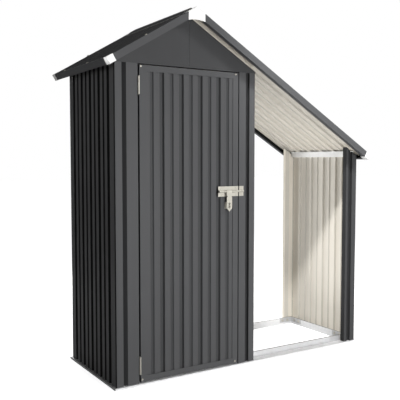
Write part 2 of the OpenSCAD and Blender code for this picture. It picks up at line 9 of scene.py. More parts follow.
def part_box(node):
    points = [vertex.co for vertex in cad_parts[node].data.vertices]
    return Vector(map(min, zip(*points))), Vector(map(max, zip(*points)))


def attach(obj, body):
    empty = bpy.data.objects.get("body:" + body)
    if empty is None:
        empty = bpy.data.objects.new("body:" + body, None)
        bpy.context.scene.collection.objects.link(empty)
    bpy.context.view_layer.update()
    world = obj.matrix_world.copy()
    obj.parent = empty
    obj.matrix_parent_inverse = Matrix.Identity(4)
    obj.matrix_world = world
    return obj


bl_info = {
    "name": "Log Store with Tool Shed",
    "version": (1, 0, 0),
    "blender": (4, 5, 0),
    "location": "3D View > Sidebar > Log Store",
    "description": "Finishes, screws and studio of a ribbed steel shed with an open log store",
    "category": "Object",
}

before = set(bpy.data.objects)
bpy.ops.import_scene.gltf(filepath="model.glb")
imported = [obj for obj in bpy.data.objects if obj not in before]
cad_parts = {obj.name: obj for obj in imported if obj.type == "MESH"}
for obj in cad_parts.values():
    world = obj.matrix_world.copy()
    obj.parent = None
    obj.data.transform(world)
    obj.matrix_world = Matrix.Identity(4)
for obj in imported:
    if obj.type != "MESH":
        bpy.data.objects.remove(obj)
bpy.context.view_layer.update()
MM = 0.001
ROOF_PITCH = math.radians(30.5)
FLANGE = 14 * MM
# Heights at which a base rail's ledge ends and its top edge begins
RAIL_LEDGE, RAIL_TOP = 12 * MM, 43 * MM
# How deep under a sheet its grooves begin, and how far in the outside of a corner bend reaches
GROOVE_DEPTH, CORNER_SHADE = 1.5 * MM, 3.5 * MM
# Cosines between a face's normal and the way that it is compared with
PAINTED_LIMIT, TRIM_BACK_LIMIT, CORNER_LIMIT, FLAT_LIMIT = -0.02, 0.6, 0.5, 0.95
FORWARDS = (0, -1, 0)

# The way that the painted side of each sheet faces. The other side has the pale backing coat.
PAINTED_SIDE = {
    "left_wall": (-1, 0, 0),
    "back_wall": (0, 1, 0),
    "inner_wall": (1, 0, 0),
    "end_wall": (1, 0, 0),
    "front_left_panel": (0.4, -1, 0),
    "front_right_panel": (-0.4, -1, 0),
    "end_post_front": (-0.4, -1, 0),
    "end_post_back": (0, 1, 0),
    "front_gable_left": (0, -1, 0),
    "front_gable_right": (0, -1, 0),
    "back_gables": (0, 1, 0),
    "roof_left": (0, 0, 1),
    "roof_right": (0, 0, 1),
    "ridge_flashing": (0, 0, 1),
    "door_panel": (0, -1, 0),
}
# The way straight off each grooved sheet. Its coat is darker in the grooves, as painted shade.
GROOVED = {
    "left_wall": (-1, 0, 0),
    "back_wall": (0, 1, 0),
    "inner_wall": (1, 0, 0),
    "end_wall": (1, 0, 0),
    "front_left_panel": (0, -1, 0),
    "front_right_panel": (0, -1, 0),
    "end_post_front": (0, -1, 0),
    "end_post_back": (0, 1, 0),
    "roof_left": (-math.sin(ROOF_PITCH), 0, math.cos(ROOF_PITCH)),
    "roof_right": (math.sin(ROOF_PITCH), 0, math.cos(ROOF_PITCH)),
    "door_panel": (0, -1, 0),
}
# The way that the hidden side of each trim faces
TRIM_BACK = {
    "front_fascia_left": (0, 1, 0),
    "front_fascia_right": (0, 1, 0),
    "back_fascia_left": (0, -1, 0),
    "back_fascia_right": (0, -1, 0),
    "eave_trim_left": (0.86, 0, 0.51),
    "eave_trim_right": (-0.86, 0, 0.51),
}
# Sheets with a corner bend, and the side that the bend is on. The outside of each bend gets
# painted shade.
CORNERS = (("front_left_panel", -1), ("front_right_panel", 1), ("end_post_front", 1),
           ("end_post_back", 1), ("back_wall", -1), ("back_wall", 1))
# Corner panels and posts, whose grooves get the post groove's painted shade
POSTS = ("front_left_panel", "front_right_panel", "end_post_front", "end_post_back")
# Sheets under the roof whose dark coat is darker: painted shade
SHADED_UNDER_ROOF = ("front_gable_left", "front_gable_right", "back_gables", "end_post_front",
             "end_post_back")
DOOR_FRAME = ("door_hinge_stile", "door_lock_stile", "door_top_rail", "door_bottom_rail")
INNER_RAILS = ("base_rail_back", "base_rail_right", "base_rail_middle")
TOP_RAILS = ("front_top_rail", "back_top_rail", "left_top_rail", "inner_top_rail", "end_top_rail")
PLASTIC_CAPS = ("eave_caps", "ridge_caps")
FITTINGS = ("hinge_frame_leaves", "hinge_door_leaves", "latch_plate", "hasp_staple",
            "bolt_keeper", "bolt_rod", "hasp")


class LogStoreFinishes(bpy.types.PropertyGroup):
    """Colours and surfaces of the sheet, the rails, the caps and the fittings"""

    coat_colour: FloatVectorProperty(
        name="Coat", description="Dark coat on the outside of the sheets",
        subtype="COLOR", size=3, min=0, max=1, default=(0.088, 0.089, 0.092))
    backing_colour: FloatVectorProperty(
        name="Backing coat", description="Pale coat on the inside of the sheets",
        subtype="COLOR", size=3, min=0, max=1, default=(0.80, 0.757, 0.673))
    # Near black on the hidden side of the trims: painted shade
    trim_back_shade_colour: FloatVectorProperty(
        name="Trim back", description="Near black on the hidden side of the trims, as painted shade",
        subtype="COLOR", size=3, min=0, max=1, default=(0.016, 0.016, 0.017))
    frame_colour: FloatVectorProperty(
        name="Galvanised frame", description="Walls of the base rails' upstand",
        subtype="COLOR", size=3, min=0, max=1, default=(0.76, 0.762, 0.77))
    bracket_colour: FloatVectorProperty(
        name="Brackets", description="Duller zinc of the brackets in the base's corners",
        subtype="COLOR", size=3, min=0, max=1, default=(0.50, 0.50, 0.505))
    # Paler ledge: painted light on the up-facing ledge of the base rails
    ledge_lit_colour: FloatVectorProperty(
        name="Ledge", description="Colour of the base rails' ledge", subtype="COLOR", size=3,
        min=0, max=1, default=(0.92, 0.92, 0.925))
    # Dark top edge of the base rails: painted shade
    rail_top_shade_colour: FloatVectorProperty(
        name="Rail top", description="Colour of the base rails' top edge", subtype="COLOR", size=3,
        min=0, max=1, default=(0.20, 0.193, 0.18))
    # Darker walls of the front and left rails: painted shade
    outer_rail_shade_colour: FloatVectorProperty(
        name="Outer rail", description="Walls of the front base rail, and the left base rail",
        subtype="COLOR", size=3, min=0, max=1, default=(0.45, 0.45, 0.455))
    # Zinc made brighter than the frame: painted light on the rails under the roof
    rail_colour: FloatVectorProperty(
        name="Top rails", description="Zinc of the rails under the roof, made brighter as painted light",
        subtype="COLOR", size=3, min=0, max=1, default=(0.95, 0.95, 0.945))
    cap_colour: FloatVectorProperty(
        name="Caps", description="Moulded caps at the eaves and the ridge",
        subtype="COLOR", size=3, min=0, max=1, default=(0.92, 0.92, 0.905))
    fitting_colour: FloatVectorProperty(
        name="Zinc fittings", description="Hinges, bolt, hasp and screws",
        subtype="COLOR", size=3, min=0, max=1, default=(0.47, 0.45, 0.393))
    coat_roughness: FloatProperty(
        name="Coat roughness", description="Roughness of the dark coat",
        subtype="FACTOR", min=0, max=1, default=0.42)
    # The groove tones darken the dark coat in the grooves, and the side groove tone also on corner
    # bends: painted shade
    groove_shade_tone: FloatProperty(
        name="Groove tone",
        description="Tone of the dark coat in the grooves of the door and the back wall",
        subtype="FACTOR", min=0, max=1, default=0.72)
    side_groove_shade_tone: FloatProperty(
        name="Side groove tone",
        description="Tone of the dark coat in grooves of roof and side walls, and on bends",
        subtype="FACTOR", min=0, max=1, default=0.10)
    post_groove_shade_tone: FloatProperty(
        name="Post groove tone",
        description="Tone of the dark coat in the grooves of the corner panels and posts",
        subtype="FACTOR", min=0, max=1, default=0.40)
    # Darkens the dark coat on the gables and the end posts: painted shade
    gable_shade_tone: FloatProperty(
        name="Gable tone", description="Tone of the dark coat on the gables and the end posts",
        subtype="FACTOR", min=0, max=1, default=0.68)
    # Darkens the pale coat on the sides of the ribs: painted shade
    rib_shade_tone: FloatProperty(
        name="Rib tone", description="Tone of the pale coat on the sides of the ribs",
        subtype="FACTOR", min=0, max=1, default=0.72)
    coat_grain: FloatProperty(
        name="Coat grain", description="Grains of the coat in a metre",
        min=50, max=2000, default=520)


class LogStoreFasteners(bpy.types.PropertyGroup):
    """Sizes of the screws and bolts"""

    head_radius: FloatProperty(
        name="Screw head", description="Radius of a screw's head", unit="LENGTH",
        min=0.002, max=0.01, default=0.0042)
    head_height: FloatProperty(
        name="Head height", description="Height of a screw's head", unit="LENGTH",
        min=0.001, max=0.006, default=0.0024)
    roof_head_radius: FloatProperty(
        name="Roof head radius", description="Radius of the screw heads on the roof's trims",
        unit="LENGTH", min=0.001, max=0.02, default=0.0055)
    roof_head_height: FloatProperty(
        name="Roof head height", description="Height of the screw heads on the roof's trims",
        unit="LENGTH", min=0.0005, max=0.01, default=0.004)
    plate_head_radius: FloatProperty(
        name="Plate screw head", description="Radius of the screws in the bolt's plates",
        unit="LENGTH", min=0.002, max=0.006, default=0.0035)
    bolt_radius: FloatProperty(
        name="Frame bolt head", description="Radius of the hexagon heads on the corner brackets",
        unit="LENGTH", min=0.003, max=0.012, default=0.0065)
    bolt_height: FloatProperty(
        name="Frame bolt height", description="Height of the hexagon heads on the corner brackets",
        unit="LENGTH", min=0.002, max=0.008, default=0.0045)
    trim_first: FloatProperty(
        name="First trim screw",
        description="Distance of a sloping trim's first screw from the ridge",
        unit="LENGTH", min=0.1, max=0.4, default=0.272)
    trim_pitch: FloatProperty(
        name="Trim screw pitch", description="Distance between two screws along a sloping trim",
        unit="LENGTH", min=0.1, max=0.8, default=0.38)


class LogStoreStage(bpy.types.PropertyGroup):
    """Camera, light and floor"""

    camera_place: FloatVectorProperty(
        name="Camera", description="Place of the camera", subtype="TRANSLATION", unit="LENGTH",
        size=3, default=(-2.0423, -3.0806, 1.1157))
    camera_aim: FloatVectorProperty(
        name="Aim", description="Direction in which the camera looks", subtype="DIRECTION",
        size=3, default=(0.5279, 0.8470, -0.0623))
    lens: FloatProperty(
        name="Lens", description="Focal length on a 36 mm frame", unit="CAMERA",
        min=10, max=200, default=57.35)
    top_place: FloatVectorProperty(
        name="Top panel place", description="Place of the small panel over the roof",
        subtype="TRANSLATION", unit="LENGTH", size=3, default=(-0.8, 0.0, 4.5))
    top_power: FloatProperty(
        name="Top panel", description="Power of the top panel", unit="POWER",
        min=0, max=2000, default=5)
    foot_place: FloatVectorProperty(
        name="Foot panel place", description="Place of the low panel in front of the door",
        subtype="TRANSLATION", unit="LENGTH", size=3, default=(-0.4, -2.4, 0.25))
    foot_power: FloatProperty(
        name="Foot panel", description="Power of the foot panel", unit="POWER",
        min=0, max=2000, default=10)
    high_place: FloatVectorProperty(
        name="High panel place", description="Place of the panel high in front on the right",
        subtype="TRANSLATION", unit="LENGTH", size=3, default=(2.5, -2.7, 3.1))
    high_power: FloatProperty(
        name="High panel", description="Power of the high panel", unit="POWER",
        min=0, max=2000, default=60)
    panel_place: FloatVectorProperty(
        name="Front panel place", description="Place of the panel in front",
        subtype="TRANSLATION", unit="LENGTH", size=3, default=(0.45, -3.9, 1.0))
    panel_power: FloatProperty(
        name="Front panel", description="Power of the front panel", unit="POWER",
        min=0, max=2000, default=82)
    side_place: FloatVectorProperty(
        name="Side panel place", description="Place of the panel behind the left wall",
        subtype="TRANSLATION", unit="LENGTH", size=3, default=(-4.6, 4.3, 1.6))
    side_power: FloatProperty(
        name="Side panel", description="Power of the side panel", unit="POWER",
        min=0, max=2000, default=60)
    back_place: FloatVectorProperty(
        name="Back panel place", description="Place of the panel behind the shed",
        subtype="TRANSLATION", unit="LENGTH", size=3, default=(-0.28, 2.9, 1.2))
    back_power: FloatProperty(
        name="Back panel", description="Power of the back panel", unit="POWER",
        min=0, max=2000, default=52)
    far_place: FloatVectorProperty(
        name="Far panel place",
        description="Place of the panel on the right, for the log bay's outside",
        subtype="TRANSLATION", unit="LENGTH", size=3, default=(4.2, 1.6, 2.6))
    far_power: FloatProperty(
        name="Far panel", description="Power of the far panel", unit="POWER",
        min=0, max=2000, default=60)
    key_place: FloatVectorProperty(
        name="Key place", description="Place of the key spot above the front left",
        subtype="TRANSLATION", unit="LENGTH", size=3, default=(-1.184, -1.795, 4.241))
    key_power: FloatProperty(
        name="Key", description="Power of the key spot", unit="POWER",
        min=0, max=5000, default=640)
    cap_place: FloatVectorProperty(
        name="Cap spot place", description="Place of the narrow spot on the left eave's cap",
        subtype="TRANSLATION", unit="LENGTH", size=3, default=(-3.0, -1.02, 0.79))
    cap_power: FloatProperty(
        name="Cap spot", description="Power of the cap spot", unit="POWER",
        min=0, max=2000, default=180)
    card_place: FloatVectorProperty(
        name="Card place", description="Place of the low card on the floor of the log bay",
        subtype="TRANSLATION", unit="LENGTH", size=3, default=(0.35, -0.145, 0.02))
    card_power: FloatProperty(
        name="Card", description="Power of the low card", unit="POWER",
        min=0, max=2000, default=2.3)
    ambient: FloatProperty(
        name="Ambient", description="Strength of the even light from all round",
        min=0, max=2, default=0.05)
    floor_colour: FloatVectorProperty(
        name="Floor", description="Colour of the floor", subtype="COLOR", size=3, min=0, max=1,
        default=(0.75, 0.75, 0.75))


def node(name):
    """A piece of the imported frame."""
    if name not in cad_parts:
        raise RuntimeError(f"the frame has no piece named {name}")
    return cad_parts[name]


def dress(name, *materials):
    """Gives a piece of the frame its materials, the first one on every face."""
    data = node(name).data
    data.materials.clear()
    for material in materials:
        data.materials.append(material)
    return data


def dress_by_side(name, facing, front, back, limit):
    """Faces that look along facing by at least limit get front, and all others get back."""
    facing = Vector(facing).normalized()
    for face in dress(name, front, back).polygons:
        face.material_index = 0 if face.normal.dot(facing) >= limit else 1


def shade_grooves(name, outwards, groove, rib_side_shade):
    """Outside faces in the grooves, and rib sides on the inside, get darker materials: painted
    shade.
    """
    outwards = Vector(outwards).normalized()
    data = node(name).data
    data.materials.append(groove)
    data.materials.append(rib_side_shade)
    top = max(vertex.co.dot(outwards) for vertex in data.vertices)
    for face in data.polygons:
        if face.material_index == 0 and face.center.dot(outwards) < top - GROOVE_DEPTH:
            face.material_index = 2
        elif face.material_index == 1 and abs(face.normal.dot(outwards)) < FLAT_LIMIT:
            face.material_index = 3


def shade_corner(name, side, shaded):
    """The outside of a corner bend, on the left (side -1) or right (side 1), gets a darker
    material: painted shade.
    """
    data = node(name).data
    data.materials.append(shaded)
    edge = max(side * vertex.co.x for vertex in data.vertices)
    for face in data.polygons:
        if side * face.normal.x > CORNER_LIMIT and side * face.center.x > edge - CORNER_SHADE:
            face.material_index = len(data.materials) - 1


def shade_rail(name, ledge, wall, top):
    """A base rail's ledge, the walls of its upstand and its top edge get their own materials: a
    paler ledge is painted light, a dark top edge is painted shade.
    """
    for face in dress(name, ledge, wall, top).polygons:
        height = face.center.z
        face.material_index = 2 if height > RAIL_TOP else 1 if height > RAIL_LEDGE else 0


# Node groups and materials

NOISE_MIDDLE = 0.5
# The colour sockets of a Mix node
MIX_A, MIX_B, MIX_RESULT = 6, 7, 2
SURFACE_OUTPUTS = (("Colour", "NodeSocketColor"), ("Roughness", "NodeSocketFloat"),
                   ("Height", "NodeSocketFloat"))
# Coat: scales of its noises, stretch of the streaks, and shares of streak and grain in the mottle
CLOUD_SCALE, SPECK_SCALE, STREAK_STRETCH = 4.5, 38.0, (22, 22, 0.7)
STREAK_SHARE, GRAIN_SHARE = 0.7, 0.6
# Coat: heights between which the dust thins out, its colour, and what changes the roughness
DUST_END, DUST_START, DUST_COLOUR = 0.22, 0.01, (0.42, 0.40, 0.37, 1)
CLOUD_ROUGHNESS, DUST_ROUGHNESS = 0.16, 0.6
# Zinc: stretch of the brushed grain, scale of the clouds, and the crystals' change of roughness
BRUSH_STRETCH, ZINC_CLOUD_SCALE, CRYSTAL_ROUGHNESS = (60, 900, 900), 9.0, 0.14


def new_group(name, inputs, outputs):
    """An empty shader node group with its named sockets."""
    tree = bpy.data.node_groups.new(name, "ShaderNodeTree")
    for label, kind, value in inputs:
        socket = tree.interface.new_socket(label, in_out="INPUT", socket_type=kind)
        if value is not None:
            socket.default_value = value
    for label, kind in outputs:
        tree.interface.new_socket(label, in_out="OUTPUT", socket_type=kind)
    return tree, tree.nodes.new("NodeGroupInput"), tree.nodes.new("NodeGroupOutput")


def add_node(tree, kind, settings=None, **values):
    """A node with its settings, and with values or links on its named inputs."""
    made = tree.nodes.new(kind)
    for key, value in (settings or {}).items():
        setattr(made, key, value)
    for label, value in values.items():
        plug(tree, made.inputs[label.replace("_", " ")], value)
    return made


def plug(tree, socket, value):
    """Links an output to an input, or sets the input's own value."""
    if isinstance(value, bpy.types.NodeSocket):
        tree.links.new(value, socket)
    else:
        socket.default_value = value


def maths(tree, operation, first, second):
    """The result of an operation on two values or outputs."""
    made = tree.nodes.new("ShaderNodeMath")
    made.operation = operation
    plug(tree, made.inputs[0], first)
    plug(tree, made.inputs[1], second)
    return made.outputs[0]


def scaled(tree, vector, amounts):
    """A vector stretched along its axes."""
    made = tree.nodes.new("ShaderNodeVectorMath")
    made.operation = "MULTIPLY"
    plug(tree, made.inputs[0], vector)
    made.inputs[1].default_value = amounts
    return made.outputs[0]


def tinted(tree, colour, level):
    """A colour times a level."""
    made = tree.nodes.new("ShaderNodeVectorMath")
    made.operation = "SCALE"
    plug(tree, made.inputs[0], colour)
    plug(tree, made.inputs["Scale"], level)
    return made.outputs[0]


def departure(tree, value, amount):
    """A noise value's departure from its middle, times an amount."""
    return maths(tree, "MULTIPLY", maths(tree, "SUBTRACT", value, NOISE_MIDDLE), amount)


def around_one(tree, value, amount):
    """1 plus a noise value's departure from its middle, times an amount."""
    return maths(tree, "ADD", departure(tree, value, amount), 1.0)


def coat_grain_group():
    """Stoved coat: fine grain, cloudy tone, faint streaks and some dust near the ground."""
    name = "Coat grain"
    if name in bpy.data.node_groups:
        return bpy.data.node_groups[name]
    tree, given, out = new_group(
        name,
        [("Vector", "NodeSocketVector", None), ("Colour", "NodeSocketColor", (0.5, 0.5, 0.5, 1)),
         ("Grain Scale", "NodeSocketFloat", 500.0), ("Mottle", "NodeSocketFloat", 0.1),
         ("Roughness", "NodeSocketFloat", 0.4), ("Dust", "NodeSocketFloat", 0.1)],
        SURFACE_OUTPUTS)
    place = given.outputs["Vector"]
    grain = add_node(tree, "ShaderNodeTexNoise", Vector=place, Scale=given.outputs["Grain Scale"],
                     Detail=2.0)
    cloud = add_node(tree, "ShaderNodeTexNoise", Vector=place, Scale=CLOUD_SCALE, Detail=4.0)
    streak = add_node(tree, "ShaderNodeTexNoise", Vector=scaled(tree, place, STREAK_STRETCH),
                      Scale=1.0, Detail=3.0)
    speck = add_node(tree, "ShaderNodeTexNoise", Vector=place, Scale=SPECK_SCALE, Detail=3.0)
    mottle = given.outputs["Mottle"]
    tone = around_one(tree, cloud.outputs["Fac"], mottle)
    for noise, share in ((streak, STREAK_SHARE), (grain, GRAIN_SHARE)):
        amount = maths(tree, "MULTIPLY", mottle, share)
        tone = maths(tree, "MULTIPLY", tone, around_one(tree, noise.outputs["Fac"], amount))
    painted = tinted(tree, given.outputs["Colour"], tone)
    height = add_node(tree, "ShaderNodeSeparateXYZ", Vector=place).outputs["Z"]
    low = add_node(tree, "ShaderNodeMapRange", {"interpolation_type": "SMOOTHSTEP"}, Value=height,
                   From_Min=DUST_END, From_Max=DUST_START, To_Min=0.0,
                   To_Max=1.0).outputs["Result"]
    dust = maths(tree, "MULTIPLY", maths(tree, "MULTIPLY", low, speck.outputs["Fac"]),
                 given.outputs["Dust"])
    mixed = tree.nodes.new("ShaderNodeMix")
    mixed.data_type = "RGBA"
    plug(tree, mixed.inputs["Factor"], dust)
    plug(tree, mixed.inputs[MIX_A], painted)
    mixed.inputs[MIX_B].default_value = DUST_COLOUR
    rough = maths(tree, "ADD", given.outputs["Roughness"],
                  departure(tree, cloud.outputs["Fac"], CLOUD_ROUGHNESS))
    rough = maths(tree, "ADD", rough, maths(tree, "MULTIPLY", dust, DUST_ROUGHNESS))
    plug(tree, out.inputs["Colour"], mixed.outputs[MIX_RESULT])
    plug(tree, out.inputs["Roughness"], rough)
    plug(tree, out.inputs["Height"], grain.outputs["Fac"])
    return tree


def zinc_spangle_group():
    """Zinc coat: crystals of slightly different tone with a fine brushed grain."""
    name = "Zinc spangle"
    if name in bpy.data.node_groups:
        return bpy.data.node_groups[name]
    tree, given, out = new_group(
        name,
        [("Vector", "NodeSocketVector", None), ("Colour", "NodeSocketColor", (0.8, 0.8, 0.8, 1)),
         ("Spangle Scale", "NodeSocketFloat", 90.0), ("Contrast", "NodeSocketFloat", 0.1),
         ("Roughness", "NodeSocketFloat", 0.4)],
        SURFACE_OUTPUTS)
    place = given.outputs["Vector"]
    crystal = add_node(tree, "ShaderNodeTexVoronoi", Vector=place,
                       Scale=given.outputs["Spangle Scale"])
    level = add_node(tree, "ShaderNodeSeparateColor",
                     Color=crystal.outputs["Color"]).outputs["Red"]
    brushed = add_node(tree, "ShaderNodeTexNoise", Vector=scaled(tree, place, BRUSH_STRETCH),
                       Scale=1.0, Detail=3.0)
    cloud = add_node(tree, "ShaderNodeTexNoise", Vector=place, Scale=ZINC_CLOUD_SCALE, Detail=4.0)
    tone = maths(tree, "MULTIPLY", around_one(tree, level, given.outputs["Contrast"]),
                 around_one(tree, cloud.outputs["Fac"], given.outputs["Contrast"]))
    rough = maths(tree, "ADD", given.outputs["Roughness"],
                  departure(tree, level, CRYSTAL_ROUGHNESS))
    plug(tree, out.inputs["Colour"], tinted(tree, given.outputs["Colour"], tone))
    plug(tree, out.inputs["Roughness"], rough)
    plug(tree, out.inputs["Height"], brushed.outputs["Fac"])
    return tree


def grouped_material(name, group, values, bump, metallic=0.0, specular=0.5):
    """A material whose colour, roughness and bump come from a node group on Object coordinates."""
    if name in bpy.data.materials:
        return bpy.data.materials[name]
    material = bpy.data.materials.new(name)
    material.use_nodes = True
    tree = material.node_tree
    shader = tree.nodes["Principled BSDF"]
    coordinates = tree.nodes.new("ShaderNodeTexCoord")
    surface = tree.nodes.new("ShaderNodeGroup")
    surface.node_tree = group
    tree.links.new(coordinates.outputs["Object"], surface.inputs["Vector"])
    for label, value in values.items():
        surface.inputs[label].default_value = value
    relief = tree.nodes.new("ShaderNodeBump")
    relief.inputs["Strength"].default_value = bump[0]
    relief.inputs["Distance"].default_value = bump[1]
    tree.links.new(surface.outputs["Height"], relief.inputs["Height"])
    tree.links.new(relief.outputs["Normal"], shader.inputs["Normal"])
    tree.links.new(surface.outputs["Colour"], shader.inputs["Base Color"])
    tree.links.new(surface.outputs["Roughness"], shader.inputs["Roughness"])
    shader.inputs["Metallic"].default_value = metallic
    shader.inputs["Specular IOR Level"].default_value = specular
    return material


def opaque(colour):
    """A colour with full alpha."""
    return (*colour, 1.0)


def dark_coat(look):
    """The dark coat of the sheets in its own tone."""
    return toned_coat(look, "Anthracite coat", 1.0)


def toned_coat(look, name, tone):
    """The dark coat with its colour times a tone; a tone below 1 is painted shade."""
    return grouped_material(
        name, coat_grain_group(),
        {"Colour": opaque([tone * c for c in look.coat_colour]), "Grain Scale": look.coat_grain,
         "Mottle": 0.10, "Roughness": look.coat_roughness, "Dust": 0.02},
        bump=(0.05, 0.0003), specular=0.06)


def backing_coat(look, name="Cream backing coat", tone=1.0):
    """The pale coat with its colour times a tone; a tone below 1 is painted shade."""
    return grouped_material(
        name, coat_grain_group(),
        {"Colour": opaque([tone * c for c in look.backing_colour]), "Grain Scale": 420.0,
         "Mottle": 0.03, "Roughness": 0.5, "Dust": 0.08},
        bump=(0.06, 0.0004), specular=0.35)


# The hidden side of the trims in near black: painted shade
def trim_back(look):
    return grouped_material(
        "Trim hidden side, painted shade", coat_grain_group(),
        {"Colour": opaque(look.trim_back_shade_colour), "Grain Scale": 420.0, "Mottle": 0.12,
         "Roughness": 0.6, "Dust": 0.0},
        bump=(0.08, 0.0004), specular=0.1)


def moulded_plastic(look):
    return grouped_material(
        "Moulded white plastic", coat_grain_group(),
        {"Colour": opaque(look.cap_colour), "Grain Scale": 900.0, "Mottle": 0.03,
         "Roughness": 0.38, "Dust": 0.0},
        bump=(0.05, 0.0003), specular=0.45)


def galvanised(name, colour):
    return grouped_material(
        name, zinc_spangle_group(),
        {"Colour": opaque(colour), "Spangle Scale": 70.0, "Contrast": 0.06, "Roughness": 0.40},
        bump=(0.04, 0.0003), metallic=0.05)


def zinc_plate(look):
    return grouped_material(
        "Zinc plated fitting", zinc_spangle_group(),
        {"Colour": opaque(look.fitting_colour), "Spangle Scale": 260.0, "Contrast": 0.08,
         "Roughness": 0.36},
        bump=(0.05, 0.0002), metallic=0.35)


# Screws and bolts

ROUND, HEXAGON, WASHER_SIDES, CROSS_ARMS = 16, 6, 24, 4
# Degrees by which each head is turned further than the one before it
HEAD_TURN = 37
# Shares of a head's height: the washer and its rim, the head's foot, body, recess and rim
WASHER_HEIGHT, WASHER_RIM = 0.25, 0.1
HEAD_FOOT, HEAD_BODY, HEAD_RECESS, HEAD_RIM = 0.2, 0.8, 0.45, 0.12
# The ring round a recess, as a share of the head's radius
RECESS_RING = 0.42
# A washer's radius as a multiple of its head's, and a plate screw's height as a share of others'
DOOR_WASHER, PLATE_WASHER, ROOF_WASHER, BOLT_WASHER = 1.15, 1.1, 1.3, 1.35
PLATE_HEAD = 0.6
# The door's corner screws, from its left and right edges and from its lower and upper edges
DOOR_SCREW_SIDES, DOOR_SCREW_ENDS = (8 * MM, 17 * MM), (12 * MM, 7 * MM)
# Screws along the plates of the bolt and from their edges, and the thickness of the plates
LATCH_SCREWS, KEEPER_SCREWS, PLATE_EDGE = (24 * MM, 112 * MM), (14 * MM,), 8 * MM
PLATE_THICKNESS = 2 * MM
# Screws on the trims' flanges: distance from the edge, shares along an eave, last free stretch
EAVE_INSET, SLOPE_INSET = 0.6 * FLANGE, 0.65 * FLANGE
EAVE_SHARES, TRIM_END = (0.32, 0.78), 120 * MM
# Bolts along a bracket's legs, and the thickness of the bracket
BRACKET_BOLTS, BRACKET_WALL = (34 * MM, 76 * MM), 1.6 * MM


def linked_object(name, bm, material):
    """An object in the scene from a mesh that is done with."""
    data = bpy.data.meshes.new(name)
    bm.to_mesh(data)
    bm.free()
    data.materials.append(material)
    made = bpy.data.objects.new(name, data)
    bpy.context.scene.collection.objects.link(made)
    return made


def lifted(bm, face, lift):
    """Moves a face outwards, with walls round it."""
    raised = bmesh.ops.extrude_face_region(bm, geom=[face])["geom"]
    bmesh.ops.delete(bm, geom=[face], context="FACES_ONLY")
    top = [item for item in raised if isinstance(item, bmesh.types.BMFace)][0]
    bmesh.ops.translate(bm, verts=list(top.verts), vec=top.normal.normalized() * lift)
    return top


def rounded_rim(bm, face, width):
    """Rounds the edges of a face."""
    bmesh.ops.bevel(bm, geom=list(face.edges), offset=width, affect="EDGES", segments=2,
                    profile=0.5, material=-1)


def head(radius, height, sides, washer):
    """A screw's head on the plane z = 0: washer, and a round head with a cross recess or a
    six-sided head with a rounded rim.
    """
    bm = bmesh.new()
    bmesh.ops.create_circle(bm, cap_ends=True, segments=WASHER_SIDES, radius=washer)
    base = bm.faces[:][0]
    if base.normal.z < 0:
        bmesh.ops.reverse_faces(bm, faces=[base])
    rounded_rim(bm, lifted(bm, base, WASHER_HEIGHT * height), WASHER_RIM * height)
    body = bmesh.ops.create_circle(bm, cap_ends=True, segments=sides, radius=radius,
                                   matrix=Matrix.Translation((0, 0, HEAD_FOOT * height)))
    cap = body["verts"][0].link_faces[0]
    if cap.normal.z < 0:
        bmesh.ops.reverse_faces(bm, faces=[cap])
    top = lifted(bm, cap, HEAD_BODY * height)
    if sides > HEXAGON:
        bmesh.ops.inset_region(bm, faces=[top], thickness=RECESS_RING * radius)
        spokes = bmesh.ops.poke(bm, faces=[top])["faces"]
        spokes.sort(key=lambda f: math.atan2(*f.calc_center_median().yx))
        arm = sides // CROSS_ARMS
        wings = [f for i, f in enumerate(spokes) if i % arm < arm // 2]
        sunk = bmesh.ops.extrude_face_region(bm, geom=wings)["geom"]
        bmesh.ops.delete(bm, geom=wings, context="FACES_ONLY")
        bmesh.ops.translate(bm, verts=[v for v in sunk if isinstance(v, bmesh.types.BMVert)],
                            vec=(0, 0, -HEAD_RECESS * height))
    else:
        rounded_rim(bm, top, HEAD_RIM * height)
    return bm


def fasteners(name, body, places, radius, height, sides, washer, material):
    """One piece with a head at each place, which is a point and the way that the head looks."""
    whole = bmesh.new()
    pattern = head(radius, height, sides, washer)
    single = bpy.data.meshes.new(name + "_one")
    pattern.to_mesh(single)
    pattern.free()
    for turn, (point, outwards) in enumerate(places):
        first = len(whole.verts)
        whole.from_mesh(single)
        whole.verts.ensure_lookup_table()
        facing = Vector(outwards).normalized().to_track_quat("Z", "Y").to_matrix().to_4x4()
        spin = Matrix.Rotation(math.radians(HEAD_TURN * turn), 4, "Z")
        bmesh.ops.transform(whole, matrix=Matrix.Translation(Vector(point)) @ facing @ spin,
                            verts=whole.verts[first:])
    bmesh.ops.recalc_face_normals(whole, faces=whole.faces)
    bpy.data.meshes.remove(single)
    piece = linked_object(name, whole, material)
    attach(piece, body)


def slope_direction(side):
    """The way down a roof slope, and the way straight off it. side is -1 left, 1 right."""
    return (Vector((side * math.cos(ROOF_PITCH), 0, -math.sin(ROOF_PITCH))),
            Vector((side * math.sin(ROOF_PITCH), 0, math.cos(ROOF_PITCH))))


# Operators

